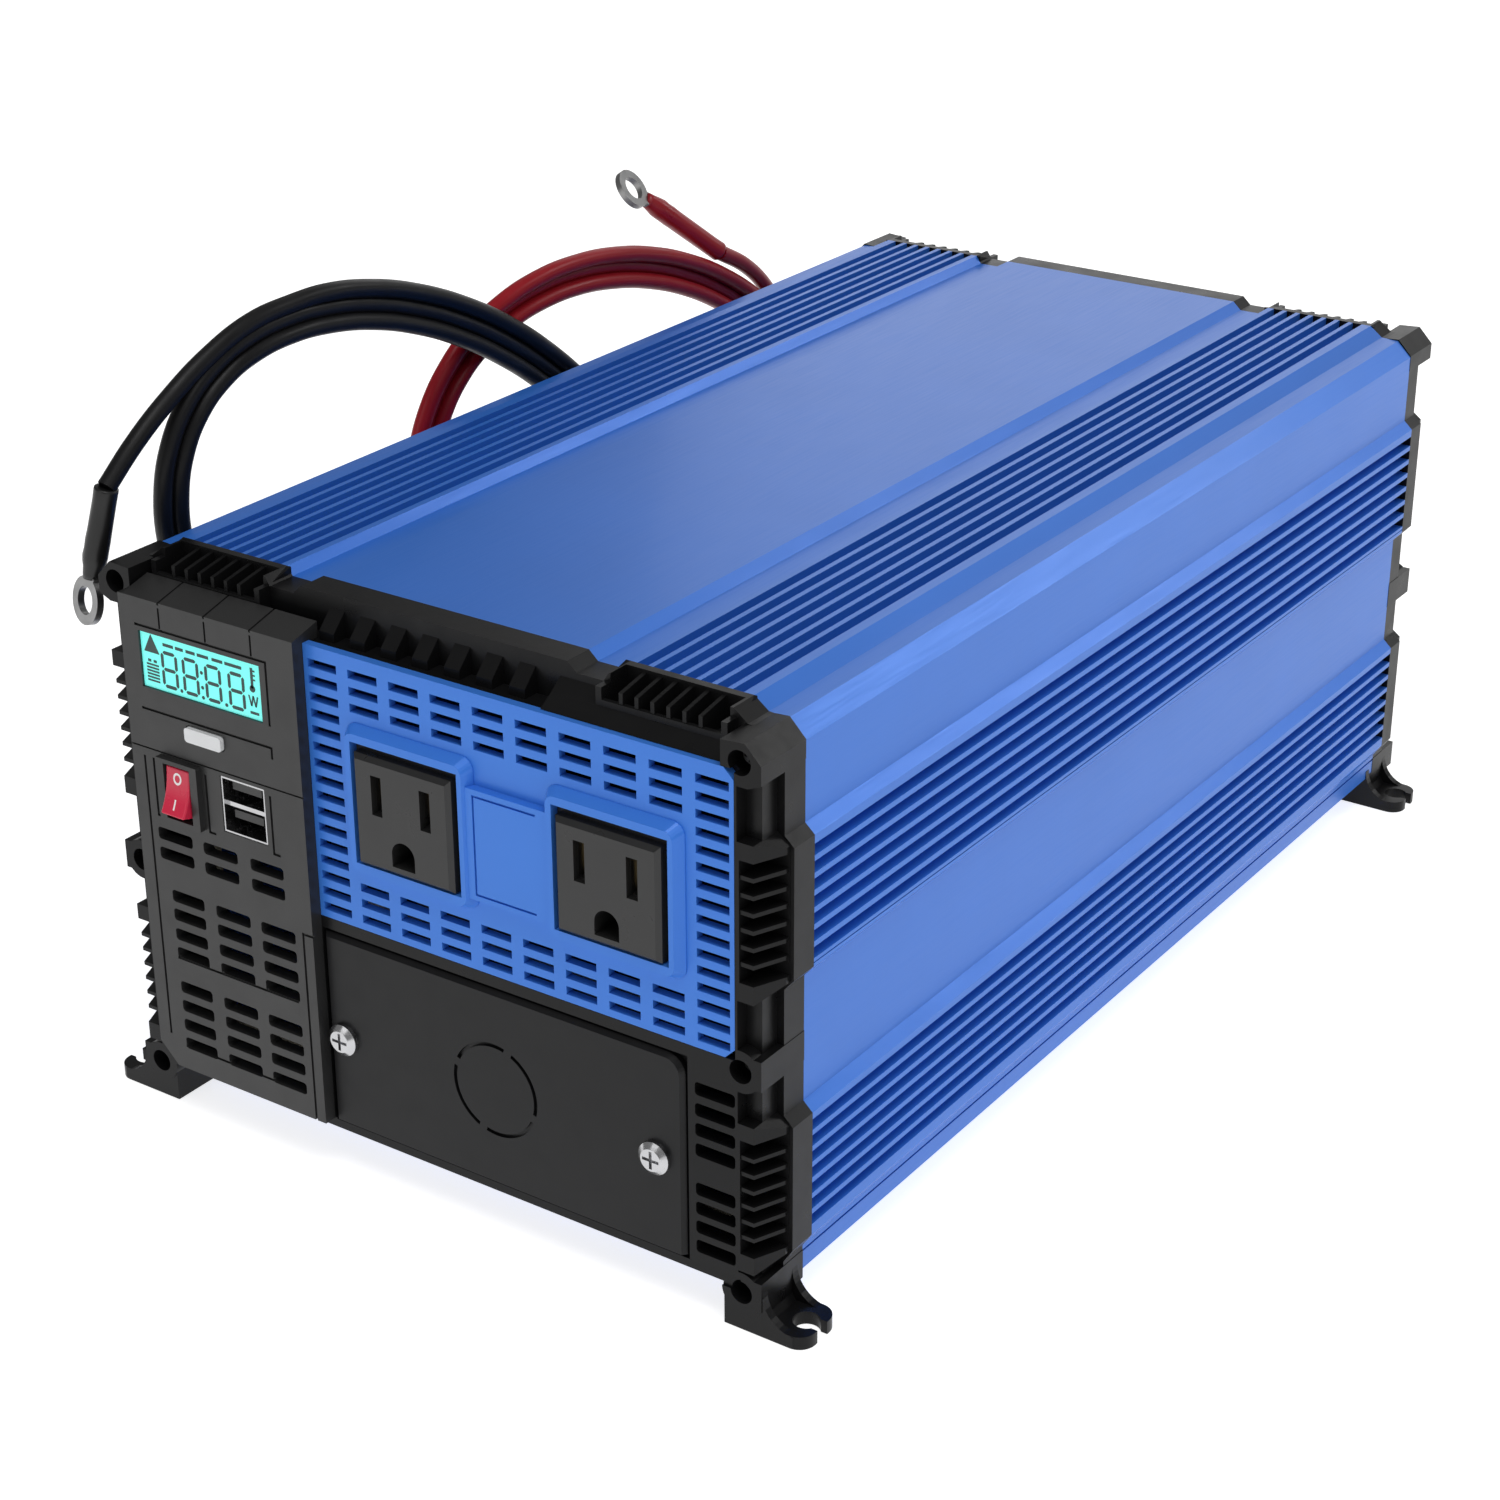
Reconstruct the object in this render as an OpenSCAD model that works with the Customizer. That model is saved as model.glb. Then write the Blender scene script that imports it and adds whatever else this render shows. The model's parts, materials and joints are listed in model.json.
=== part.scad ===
// Desktop power inverter: finned aluminium case, moulded end caps, mains outlets and battery leads.
// X runs across the front, Y from front to back, Z up from the surface it stands on.

/* [Case] */
// Length of the aluminium case between the end caps
case_len = 282.2; // [200:0.2:400]
// Half width over the plain side walls
half_w = 84.9; // [60:0.1:120]
// How far the finned side bands stand out
band_step = 2.2; // [0:0.1:4]
// Height of the case underside above the floor
case_floor = 8; // [5:0.5:20]
// Height of the highest surface of the case
case_top = 133; // [100:0.5:180]
// Depth of the flat channels beside the raised centre
channel_d = 2; // [0.5:0.1:4]
// Thickness of the case walls
wall_t = 2; // [1:0.1:4]
// Height of the seam between the two case halves
seam_z = 79.7; // [60:0.1:100]

/* [Fins] */
// Distance from one cooling groove to the next
groove_pitch = 3.72; // [3:0.01:6]
// Width of one cooling groove
groove_w = 2.5; // [1:0.1:4]
// Depth of one cooling groove
groove_d = 3; // [1:0.1:5]
// Number of grooves in each finned band
groove_count = 7; // [3:1:12]

/* [Front cap] */
// Depth of the front rim ahead of the case
front_rim_d = 7; // [4:0.5:12]
// Depth of the front screw bosses ahead of the case
front_boss_d = 15; // [10:0.5:20]
// Depth of the control panel face ahead of the case
panel_d = 18; // [15:0.5:24]
// Depth of the rear rim behind the case
rear_rim_d = 6; // [4:0.5:12]
// Depth of the rear screw bosses behind the case
rear_boss_d = 13.5; // [10:0.5:20]

/* [Feet] */
// Distance of the fixing slots from the centre line
foot_x = 91.5; // [80:0.5:120]
// Radius of the fixing slot
foot_hole_r = 2.9; // [2:0.1:4]
// Width of the mouth of the fixing slot
foot_mouth = 3.6; // [1:0.1:5]
// Thickness of the foot plate
foot_t = 3; // [2:0.1:5]

/* [Mains outlets] */
// Distance between the two flat blades of a plug
blade_gap = 12.7; // [12:0.1:14]
// Drop from the flat blades to the round earth pin
earth_drop = 11.9; // [11:0.1:13]
// Centre of the left outlet
outlet_left_x = -0.3; // [-10:0.1:10]
// Centre of the right outlet
outlet_right_x = 51.1; // [40:0.1:60]
// Height of the blade slots
blade_z = 97.3; // [80:0.1:110]

/* [Leads] */
// Diameter of each battery lead
lead_d = 4.3; // [4:0.1:12]
// Thickness of a coil across its flat side
coil_t = 7; // [4:0.5:20]
// Angle at which the coils lean on the case
coil_lean = 6.4; // [0:0.1:20]

/* [Part] */
// Which sub-part to draw

/* [Hidden] */

blue = [0.16, 0.40, 0.85];
black = [0.09, 0.09, 0.10];
silver = [0.75, 0.76, 0.78];
brass = [0.80, 0.65, 0.30];
eps = 0.01;

mid_y = 147;
band_low = [17.1, 45.9];
band_high = [79, 107.5];
band_x = half_w + band_step;
channel_z = case_top - channel_d;
strip_z = case_top - 2.5;
cavity_x = half_w - wall_t - 0.9;
cavity_z = [case_floor + wall_t, case_top - groove_d - wall_t - 0.5];
top_groove_x = 47.3;
low_groove_z = 20.8;
high_groove_z = 82;
boss_x = 80.1;
boss_z = [9, 60.4, 126.5];
boss_hole_r = 2.6;
screw_r = 1.45;
channel_r = 2.9;

deck_z = 124.3;
tray_x = 79.4;
tray_z = 9.7;
column_x = 83.2;
column_d = 12;
sill_d = 10;
sill_z = 128.5;
louvre_x = 86.2;
kink_x = 83;
pocket_x = [44.6, 72.6];
recess_x = 32.6;

outlet_d = front_boss_d + 3.5;
outlet_zc = 92.9;
opening_w = 27.8;
opening_zc = 93.6;
slot_w = 7.7;
slot_h = 1.9;
slot_pitch_x = 10.71;
slot_x0 = -22.5;
slot_z0 = 65.1;

ctl_x = [-76.5, -27.5];
ctl_z = [12.2, 125.9];
lcd_x = [-71.4, -37.2];
lcd_z = [105.5, 118.4];
button_c = [-54.3, 97.6];
rocker_c = [-62.35, 82.95];
usb_x = [-51, -38.4];
usb_z = [76.8, 90];
cover_x = [-27, 66.6];
cover_z = [12.6, 58.8];
cover_screw_x = [-22.6, 59.7];
cover_screw_z = 34;
knock_c = [18.6, 35.3];

fan_x = 37;
fan_z = 86;
fan_half = 30;
rear_plate_y = case_len + 10.5;
fan_y = [rear_plate_y - 20, rear_plate_y - 0.02];
rear_face_y = rear_plate_y + 2.5;
post_x = 38;
post_z = 32;
post_end_y = 2 * mid_y + panel_d + 3.9;
lug_y = rear_face_y + 9.2;

// Coil ovals in the leaning plane: half length, half width, tilt, centre [y, height], foot x, band.
black_oval = [121.5, 60.6, -36.2, [-36.4, 87.4], -102.8, 12.5];
red_oval = [112.1, 64.1, -28.1, [55, 77.9], -110, 11.7];

// Lead routes in the shared frame.
black_free_route = [
    [-84, -98, 170.6],
    [-84.4, -111, 169.5],
    [-85, -124, 165.2],
    [-86, -136, 158.6],
    [-87, -146, 151.4],
    [-88, -154.4, 143.6]
];
black_post_route = [
    [-63, 158.2, 32],
    [-74, 158.2, 31.4],
    [-84, 157.4, 28],
    [-92, 154.6, 21.5],
    [-98, 148.5, 14.5],
    [-101.6, 139, 8.5],
    [-102.5, 127, 4.6],
    [-102.6, 114, 3],
    [-102.6, 100, 3.2],
    [-102.2, 87, 6.5],
    [-101, 76.5, 14],
    [-99.6, 69.4, 25],
    [-98.2, 65.6, 38],
    [-97.2, 63.8, 50]
];
red_free_route = [
    [-98.7, 126, 100.4],
    [-97.6, 117, 111.8],
    [-96.6, 107.6, 122.4],
    [-95.2, 96, 131.2],
    [-94, 81.4, 138.8]
];
red_post_route = [
    [13, 158.2, 32],
    [1, 158.4, 31],
    [-12, 160, 26],
    [-24, 162.6, 18],
    [-36, 165.4, 9.5],
    [-49, 167.6, 4],
    [-62, 168.8, 2.6],
    [-76, 168.6, 3],
    [-88, 167, 8],
    [-96.5, 164.8, 17],
    [-101.3, 162, 29],
    [-103.2, 158.6, 42],
    [-103.6, 155.2, 53],
    [-103.1, 152.6, 62]
];
black_ring = [-93, -158.2, 117.9];
black_ring_normal = [-0.27, -0.95, 0.17];
red_ring = [-105.2, 57, 159.8];
red_ring_normal = [0.78, 0.08, 0.62];

foot_front_y = -14.8;
foot_rear_y = 278.2;
foot_len = 12.8;

// Places a shape from the case's own axes into the shared frame.
module place() {
    translate([0, -mid_y, 0]) children();
}

module block(lo, hi) {
    translate(lo) cube([hi[0] - lo[0], hi[1] - lo[1], hi[2] - lo[2]]);
}

// Cylinder along Y from y0 to y1.
module rod_y(x, z, y0, y1, r, sides = 48) {
    translate([x, y1, z]) rotate([90, 0, 0]) cylinder(h = y1 - y0, r = r, $fn = sides);
}

// Block whose edges along Y are rounded.
module soft_block(lo, hi, r) {
    block([lo[0] + r, lo[1], lo[2]], [hi[0] - r, hi[1], hi[2]]);
    block([lo[0], lo[1], lo[2] + r], [hi[0], hi[1], hi[2] - r]);
    for (x = [lo[0] + r, hi[0] - r]) {
        for (z = [lo[2] + r, hi[2] - r]) rod_y(x, z, lo[1], hi[1], r, 24);
    }
}

// Extrudes an X-Z outline along Y.
module along_y(y0, y1) {
    translate([0, y1, 0]) rotate([90, 0, 0]) linear_extrude(y1 - y0) children();
}

// Extrudes a Y-Z outline along X.
module along_x(x0, x1) {
    translate([x0, 0, 0]) rotate([90, 0, 90]) linear_extrude(x1 - x0) children();
}

module both_sides() {
    children();
    mirror([1, 0, 0]) children();
}

function flip(points) = [for (i = [len(points) - 1:-1:0]) [-points[i][0], points[i][1]]];

// Right half of the case outline, from the underside to the raised centre.
case_half = [
    [half_w, case_floor],
    [half_w, band_low[0] - 3.4],
    [band_x, band_low[0]],
    [band_x, band_low[1]],
    [half_w, band_low[1] + 2.1],
    [half_w, band_high[0] - 2.6],
    [band_x, band_high[0]],
    [band_x, band_high[1]],
    [half_w, band_high[1] + 2],
    [half_w, 126.6],
    [81.1, strip_z - 0.2],
    [76.6, strip_z],
    [73.3, case_top],
    [44.4, case_top],
    [43, channel_z],
    [36.5, channel_z],
    [34.3, case_top]
];

module case_outline() {
    polygon(concat(case_half, flip(case_half)));
}

cavity_half = [
    [cavity_x, cavity_z[0]],
    [cavity_x, cavity_z[1] - 3],
    [cavity_x - 3, cavity_z[1]]
];

module cavity_outline() {
    polygon(concat(cavity_half, flip(cavity_half)));
}

module groove_outlines() {
    both_sides() {
        for (i = [0:groove_count - 1]) {
            translate([top_groove_x + i * groove_pitch - groove_w / 2, case_top - groove_d])
                square([groove_w, groove_d + 1]);
            translate([band_x - groove_d, low_groove_z + i * groove_pitch - groove_w / 2])
                square([groove_d + 1, groove_w]);
            translate([band_x - groove_d, high_groove_z + i * groove_pitch - groove_w / 2])
                square([groove_d + 1, groove_w]);
        }
    }
}

module screw_channels() {
    for (side = [-1, 1]) {
        for (z = boss_z) {
            translate([side * boss_x, z]) circle(r = channel_r, $fn = 32);
        }
    }
}

module screw_holes() {
    for (side = [-1, 1]) {
        for (z = boss_z) {
            translate([side * boss_x, z]) circle(r = screw_r + 0.05, $fn = 32);
        }
    }
}

module case_section() {
    difference() {
        union() {
            difference() {
                case_outline();
                cavity_outline();
                groove_outlines();
            }
            screw_channels();
        }
        screw_holes();
    }
}

module seam_line(z) {
    both_sides() block([half_w - 0.5, -1, z - 0.25], [band_x + 1, case_len + 1, z + 0.25]);
}

module case_upper() {
    color(blue) place() difference() {
        along_y(0, case_len) intersection() {
            case_section();
            translate([-150, seam_z]) square([300, 100]);
        }
        seam_line(seam_z);
    }
}

module case_lower() {
    color(blue) place() difference() {
        along_y(0, case_len) intersection() {
            case_section();
            translate([-150, 0]) square([300, seam_z]);
        }
        seam_line(12.4);
    }
}

// One corner, middle or lower screw boss, with its recessed hole cut later.
module boss(z, depth) {
    rod_y(boss_x, z, -depth, -eps, 4.7);
    block([boss_x, -depth, z - 3.1], [half_w + 0.1, -eps, z + 3.6]);
}

module top_boss(depth) {
    along_y(-depth, -eps) polygon([
        [75.8, 122.8],
        [78, 121.6],
        [82, 121.6],
        [85, 122.9],
        [85, 126.9],
        [81.3, 130.7],
        [75.8, 130.3]
    ]);
}

module boss_cuts(depth) {
    for (z = boss_z) {
        rod_y(boss_x, z, -depth - 1, -depth + 5.5, boss_hole_r);
        rod_y(boss_x, z, -depth, 1, screw_r + 0.05);
    }
}

// Wrap-round louvre window through the corner of a cap beside one finned band.
module louvre_block(z0, z1, depth, rim_d) {
    difference() {
        along_y(-depth, -rim_d + 0.4) polygon([
            [tray_x - 2, z0 - 3],
            [column_x, z0 - 3],
            [louvre_x, z0 - 0.5],
            [louvre_x, z1 + 0.4],
            [column_x, z1 + 2.6],
            [tray_x - 2, z1 + 2.6]
        ]);
        translate([0, 0, z0 - 4]) linear_extrude(z1 - z0 + 8) polygon([
            [kink_x + 0.2, -depth - 1],
            [kink_x + 0.2, -depth],
            [louvre_x, -rim_d - 1.2],
            [louvre_x + 2, -rim_d - 1.2],
            [louvre_x + 2, -depth - 1]
        ]);
    }
}

module louvre_window(z0, z1, depth, rim_d) {
    difference() {
        block([tray_x + 0.5, -depth - 1, z0 + 1.1], [louvre_x + 1, -rim_d - 0.2, z1 - 1.1]);
        for (i = [1:groove_count - 1]) {
            translate([0, 0, z0 + 1.1 + (i - 0.5) * groove_pitch + groove_pitch / 2 - 0.2])
                linear_extrude(0.9) polygon([
                    [tray_x - 1, -depth + 0.3],
                    [kink_x, -depth + 0.3],
                    [louvre_x - 0.3, -rim_d - 0.9],
                    [louvre_x - 0.3, -rim_d + 1],
                    [tray_x - 1, -rim_d + 1]
                ]);
        }
    }
}

// Sloped louvre pocket in front of the top fins.
module top_pocket() {
    along_x(pocket_x[0] - 1.3, pocket_x[1] + 1.4) polygon([
        [-sill_d + 0.3, deck_z - 0.5],
        [-sill_d + 0.3, sill_z - 1.3],
        [-sill_d, sill_z - 1.3],
        [-sill_d, sill_z],
        [-eps, sill_z],
        [-eps, deck_z - 0.5]
    ]);
    for (x = [pocket_x[0] - 1.3, pocket_x[1]]) {
        along_x(x, x + 1.4) polygon([
            [-sill_d, sill_z - 1],
            [-sill_d, 131.1],
            [-sill_d + 2.8, 131.1],
            [-eps, case_top],
            [-eps, sill_z - 1]
        ]);
    }
    for (i = [1:groove_count - 1]) {
        x = top_groove_x + (i - 0.5) * groove_pitch;
        along_x(x - 0.45, x + 0.45) polygon([
            [-sill_d + 0.2, sill_z - 1],
            [-sill_d + 0.2, 130.9],
            [-1.8, 132.4],
            [-1.8, sill_z - 1]
        ]);
    }
}

module pocket_well() {
    difference() {
        block([pocket_x[0] + 0.1, -sill_d + 1.1, 126.4], [pocket_x[1], -1.9, case_top + 1]);
        for (i = [1:groove_count - 1]) {
            x = top_groove_x + (i - 0.5) * groove_pitch;
            along_x(x - 0.45, x + 0.45) polygon([
                [-sill_d, 120],
                [-sill_d, 130.9],
                [-1.8, 132.4],
                [-1.8, 120]
            ]);
        }
    }
}

// Sloping top of the face between the socket panel and the rim.
module slope() {
    along_x(recess_x, 75.9) polygon([
        [-14.6, deck_z - 0.5],
        [-14.6, deck_z],
        [-sill_d - 0.05, sill_z - 1.3],
        [-sill_d - 0.05, deck_z - 0.5]
    ]);
    along_x(recess_x, pocket_x[0] - 1) polygon([
        [-sill_d - 0.1, deck_z - 0.5],
        [-sill_d - 0.1, sill_z - 1.3],
        [-front_rim_d + 0.1, 129.6],
        [-front_rim_d + 0.1, deck_z - 0.5]
    ]);
}

// Buttress under the front edge of the raised centre.
module lug(x) {
    along_x(x - 1.95, x + 1.95) polygon([
        [-10.7, deck_z - 0.5],
        [-10.7, 126.3],
        [-6.9, 130.2],
        [-6.9, deck_z - 0.5]
    ]);
}

function arc(cx, cy, r, a0, a1, n) = [
    for (i = [0:n]) [cx + r * cos(a0 + (a1 - a0) * i / n), cy + r * sin(a0 + (a1 - a0) * i / n)]
];

// Curved web that stiffens a foot.
module gusset(y0) {
    along_y(y0, y0 + 1.9) polygon(concat(
        [[84, 0.5], [84, 10.2]],
        arc(92.4, 10.2, 7.4, 180, 270, 10),
        [[92.4, 0.5]]
    ));
}

// Foot with an open fixing slot; y0 is its front edge.
module foot(y0) {
    hole_y = y0 + foot_len / 2;
    difference() {
        union() {
            translate([75.8, y0, 0]) cube([foot_x - 75.8, foot_len, foot_t]);
            translate([foot_x, y0 + 3.8, 0]) cylinder(h = foot_t, r = 3.8, $fn = 40);
            translate([foot_x, y0 + foot_len - 3.8, 0]) cylinder(h = foot_t, r = 3.8, $fn = 40);
            translate([foot_x, y0 + 3.8, 0]) cube([3.8, foot_len - 7.6, foot_t]);
            block([75.8, y0, 0.5], [85, y0 + foot_len, case_floor + 0.6]);
            gusset(y0);
            gusset(y0 + foot_len - 1.9);
            along_y(y0 + 1, y0 + foot_len - 1) polygon([[84.9, 2.5], [86.4, 2.5], [84.9, 4.6]]);
        }
        translate([foot_x, hole_y, -1]) cylinder(h = 12, r = foot_hole_r, $fn = 40);
        translate([foot_x, hole_y - foot_mouth / 2, -1]) cube([10, foot_mouth, 12]);
        rod_y(boss_x, boss_z[0], -30, 0, channel_r);
    }
}

module front_bezel() {
    color(black) place() difference() {
        union() {
            along_y(-front_rim_d, -eps) case_outline();
            block([-tray_x, -front_boss_d, tray_z], [tray_x, -eps, deck_z]);
            both_sides() {
                block([tray_x - 1, -column_d, 13], [column_x, -eps, deck_z - 1]);
                boss(boss_z[0], front_boss_d);
                boss(boss_z[1], front_boss_d);
                top_boss(front_boss_d);
                louvre_block(band_low[0], band_low[1], front_boss_d, front_rim_d);
                louvre_block(band_high[0], band_high[1], front_boss_d, front_rim_d);
                top_pocket();
                foot(foot_front_y);
            }
            for (i = [-3:3]) lug(8.2 * i);
            slope();
        }
        both_sides() {
            boss_cuts(front_boss_d);
            louvre_window(band_low[0], band_low[1], front_boss_d, front_rim_d);
            louvre_window(band_high[0], band_high[1], front_boss_d, front_rim_d);
            pocket_well();
        }
        // Hollow behind the face.
        block([-75.5, -12, 14], [75.5, 1, 121.5]);
        // Window behind the control panel.
        block([-73.5, -16, 15.5], [-30, 1, 121.5]);
        // Recess and window behind the socket panel.
        block([-28.4, -16, 62.4], [78.9, -13, deck_z + 0.6]);
        block([-26, -16, 64.5], [75.5, 1, 121.5]);
        // Recess and window behind the wiring cover.
        block([cover_x[0] - 0.4, -16, 11.7], [cover_x[1] + 0.9, -13.2, 59.7]);
        block([-18, -16, 17], [56, 1, 55]);
        right_vents();
        // Step along the foot of the face.
        block([-71, -16, 9], [80, -14.5, 12.2]);
    }
}

module right_vents() {
    for (z = [17.7, 22.3, 26.8, 31.3, 40.5, 45.2, 49.8, 54.6]) {
        soft_block([69.2, -16, z - 3], [78.8, -9, z], 0.8);
    }
    block([70.3, -16, 37.9], [78.7, -14.6, 38.5]);
}

// Plain step of the rear cap behind one finned band.
module rear_band(z0, z1) {
    along_y(-8, -rear_rim_d + 0.4) polygon([
        [tray_x - 2, z0 - 3],
        [column_x, z0 - 3],
        [louvre_x, z0 - 0.5],
        [louvre_x, z1 + 0.4],
        [column_x, z1 + 2.6],
        [tray_x - 2, z1 + 2.6]
    ]);
}

module rear_bezel() {
    color(black) place() difference() {
        union() {
            translate([0, case_len, 0]) mirror([0, 1, 0]) {
                along_y(-rear_rim_d, -eps) case_outline();
                both_sides() {
                    boss(boss_z[0], rear_boss_d);
                    boss(boss_z[1], rear_boss_d);
                    top_boss(rear_boss_d);
                    rear_band(band_low[0], band_low[1]);
                    rear_band(band_high[0], band_high[1]);
                    top_pocket();
                }
                block([-tray_x, case_len - rear_face_y, tray_z], [tray_x, -eps, deck_z]);
            }
            both_sides() foot(foot_rear_y);
            block(
                [-post_x - 14, rear_face_y - 1, post_z - 14],
                [post_x + 14, rear_face_y + 1.6, post_z + 14]
            );
        }
        translate([0, case_len, 0]) mirror([0, 1, 0]) both_sides() {
            boss_cuts(rear_boss_d);
            pocket_well();
        }
        both_sides() rod_y(boss_x, boss_z[0], 270, case_len, channel_r + 0.05);
        block([-75.5, case_len - 1, 14], [75.5, rear_plate_y, 121.5]);
        // Room for the case above the front half of the rear feet.
        block([-84.95, 270, case_floor - 0.02], [84.95, case_len, 60]);
        for (side = [-1, 1]) {
            rod_y(side * fan_x, fan_z, 280, 320, 28.2, 96);
            rod_y(side * post_x, post_z, 280, 320, 5);
            for (dx = [-25, 25]) {
                for (dz = [-25, 25]) rod_y(side * fan_x + dx, fan_z + dz, 280, 320, 2.05);
            }
        }
        rod_y(64, 18, 280, 320, 1.6);
    }
}

// Row of rounded vent slots; x pairs give the ends of each slot.
module slot_row(columns, z_top, y0, y1) {
    for (c = columns) {
        soft_block([c[0], y0, z_top - 2.9], [c[1], y1, z_top], 0.8);
    }
}

vent_a = [[-70.9, -60.8], [-57.6, -47.7], [-44, -34.6]];
vent_b = [[-68.4, -58.9], [-55.4, -45.4], [-42.3, -32.5]];

module control_panel() {
    face = -panel_d;
    back = -front_boss_d;
    color(black) place() difference() {
        union() {
            along_y(face, back) polygon([
                [ctl_x[0], ctl_z[0] + 5],
                [ctl_x[0] + 5, ctl_z[0]],
                [ctl_x[1], ctl_z[0]],
                [ctl_x[1], ctl_z[1]],
                [ctl_x[0], ctl_z[1]]
            ]);
            along_x(ctl_x[0] + 1.3, ctl_x[1]) polygon([
                [face, ctl_z[1] - 2],
                [face, ctl_z[1]],
                [-sill_d - 0.2, 128],
                [-sill_d - 0.2, deck_z + 0.1],
                [back, deck_z + 0.1],
                [back, ctl_z[1] - 2]
            ]);
        }
        block([lcd_x[0], face - 1, lcd_z[0]], [lcd_x[1], back + 1, lcd_z[1]]);
        soft_block(
            [button_c[0] - 5.5, face - 1, button_c[1] - 1.95],
            [button_c[0] + 5.5, back + 1, button_c[1] + 1.95],
            1.1
        );
        block(
            [rocker_c[0] - 5.2, face - 1, rocker_c[1] - 7.15],
            [rocker_c[0] + 5.2, back + 1, rocker_c[1] + 7.15]
        );
        block([usb_x[0], face - 1, usb_z[0]], [usb_x[1], back + 1, usb_z[1]]);
        for (z = [67.7, 72.5]) slot_row(vent_a, z, face - 1, back + 1);
        for (z = [43.6, 48.3, 53.2, 57.8]) slot_row(vent_b, z, face - 1, back + 1);
        for (z = [20.6, 25.4, 30.2, 35]) slot_row(vent_b, z, face - 1, back + 1);
        // Fine lines in the face.
        for (z = [18.2, 40.8]) block([-68.5, face - 1, z - 0.3], [-33, face + 0.5, z + 0.3]);
        block([-80, face - 1, 90.8], [-20, face + 0.35, 91.2]);
        for (x = [-64.9, -51.9, -39.1]) block([x - 0.25, face - 1, 119.5], [x + 0.25, -9, 124.8]);
        for (x = [-64.9, -51.9, -39.1]) {
            along_x(x - 0.25, x + 0.25) polygon([
                [face - 0.1, ctl_z[1] - 0.5],
                [face - 0.1, ctl_z[1] + 1],
                [-9, 129],
                [-9, 127.6]
            ]);
        }
        for (x = [-70.3, -55.2, -36.8]) {
            block([x - 0.3, face - 1, 75.4], [x + 0.3, face + 0.5, 89]);
            block([x - 0.3, face - 1, 75.1], [x + 1.8, face + 0.5, 75.7]);
        }
        block([-72.3, face - 1, 119.4], [-35.3, face + 0.5, 120]);
        block([-35.6, face - 1, 105.3], [-35, face + 0.5, 120]);
        block([-72.3, face - 1, 100.1], [-35.3, face + 0.5, 100.7]);
        block([-35.6, face - 1, 97.8], [-35, face + 0.5, 100.7]);
        block([-30.5, face - 1, 58], [-26, face + 0.5, 58.6]);
        block([-30.5, face - 1, 12], [-29.9, face + 0.5, 58.6]);
        block([-73.2, face - 1, 20], [-72.6, face + 0.5, 89]);
    }
}

module outlet_frame(x) {
    hull() {
        for (dx = [-13.9, 13.9]) {
            for (z = [79.2, 107.9]) rod_y(x + dx, z, -front_boss_d - 0.3, -front_boss_d, 2.6, 24);
        }
        for (dx = [-13, 13]) {
            for (z = [80, 107]) rod_y(x + dx, z, -outlet_d + 0.9, -outlet_d + 1.2, 2.2, 24);
        }
    }
}

module outlet_panel() {
    back = -13.02;
    color(blue) place() difference() {
        union() {
            along_y(-front_boss_d, back) polygon([
                [-27.45, 62.5],
                [76.5, 62.5],
                [78.8, 64.8],
                [78.8, 122.5],
                [76.5, deck_z + 0.5],
                [-27.45, deck_z + 0.5]
            ]);
            for (x = [outlet_left_x, outlet_right_x]) outlet_frame(x + 0.1);
            block([15, -17, 80], [36, -front_boss_d, 104.8]);
        }
        for (i = [0:9]) {
            for (j = [0:15]) {
                x = slot_x0 + i * slot_pitch_x;
                z = slot_z0 + j * groove_pitch;
                if (i == 0 || i == 9 || j < 3 || j > 12)
                    block([x - slot_w / 2, -16, z - slot_h / 2], [x + slot_w / 2, -12, z + slot_h / 2]);
            }
        }
        for (x = [outlet_left_x, outlet_right_x]) {
            block(
                [x + 0.25 - opening_w / 2, -30, opening_zc - 13.7],
                [x + 0.25 + opening_w / 2, -10, opening_zc + 13.8]
            );
        }
        block([17.1, -18, 103.1], [33, -16.5, 103.6]);
        block([17.1, -18, 81.1], [17.6, -16.5, 103.6]);
        block([17.1, -18, 81.1], [32.6, -16.5, 81.6]);
    }
}

// Socket with two flat slots and an earth hole.
module outlet(x) {
    color(black) place() difference() {
        union() {
            hull() {
                block([x - 12.6, -outlet_d + 1, outlet_zc - 12.55], [x + 12.6, -4, outlet_zc + 12.55]);
                block([x - 11.7, -outlet_d, outlet_zc - 11.6], [x + 11.7, -4, outlet_zc + 11.6]);
            }
            block([x - 13.5, -15.6, outlet_zc - 12.9], [x + 13.7, -4, outlet_zc + 14.3]);
            block([x - 16.5, -12.9, outlet_zc - 16], [x + 16.5, -10.5, outlet_zc + 17]);
        }
        for (side = [-1, 1]) {
            sx = x + side * blade_gap / 2;
            block([sx - 1.35, -outlet_d - 1, blade_z - 4.45], [sx + 1.35, -outlet_d + 1.5, blade_z + 4.45]);
            block([sx - 1.3, -outlet_d, blade_z - 4.2], [sx + 1.3, -3, blade_z + 4.2]);
        }
        rod_y(x, blade_z - earth_drop, -outlet_d - 1, -8, 3);
        block([x - 3, -outlet_d - 1, blade_z - earth_drop - 3], [x + 3, -8, blade_z - earth_drop]);
    }
}

module outlet_left() { outlet(outlet_left_x); }

module outlet_right() { outlet(outlet_right_x); }

// Spring contacts inside one socket.
module contacts(x) {
    color(brass) place() {
        for (side = [-1, 1]) {
            sx = x + side * blade_gap / 2;
            for (leaf = [-1, 1]) {
                block(
                    [sx + leaf * 1.05 - 0.2, -15, blade_z - 4],
                    [sx + leaf * 1.05 + 0.2, -3.02, blade_z + 4]
                );
            }
            block([sx - 1.25, -3, blade_z - 4], [sx + 1.25, -1, blade_z + 4]);
        }
    }
}

module contacts_left() { contacts(outlet_left_x); }

module contacts_right() { contacts(outlet_right_x); }

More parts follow.
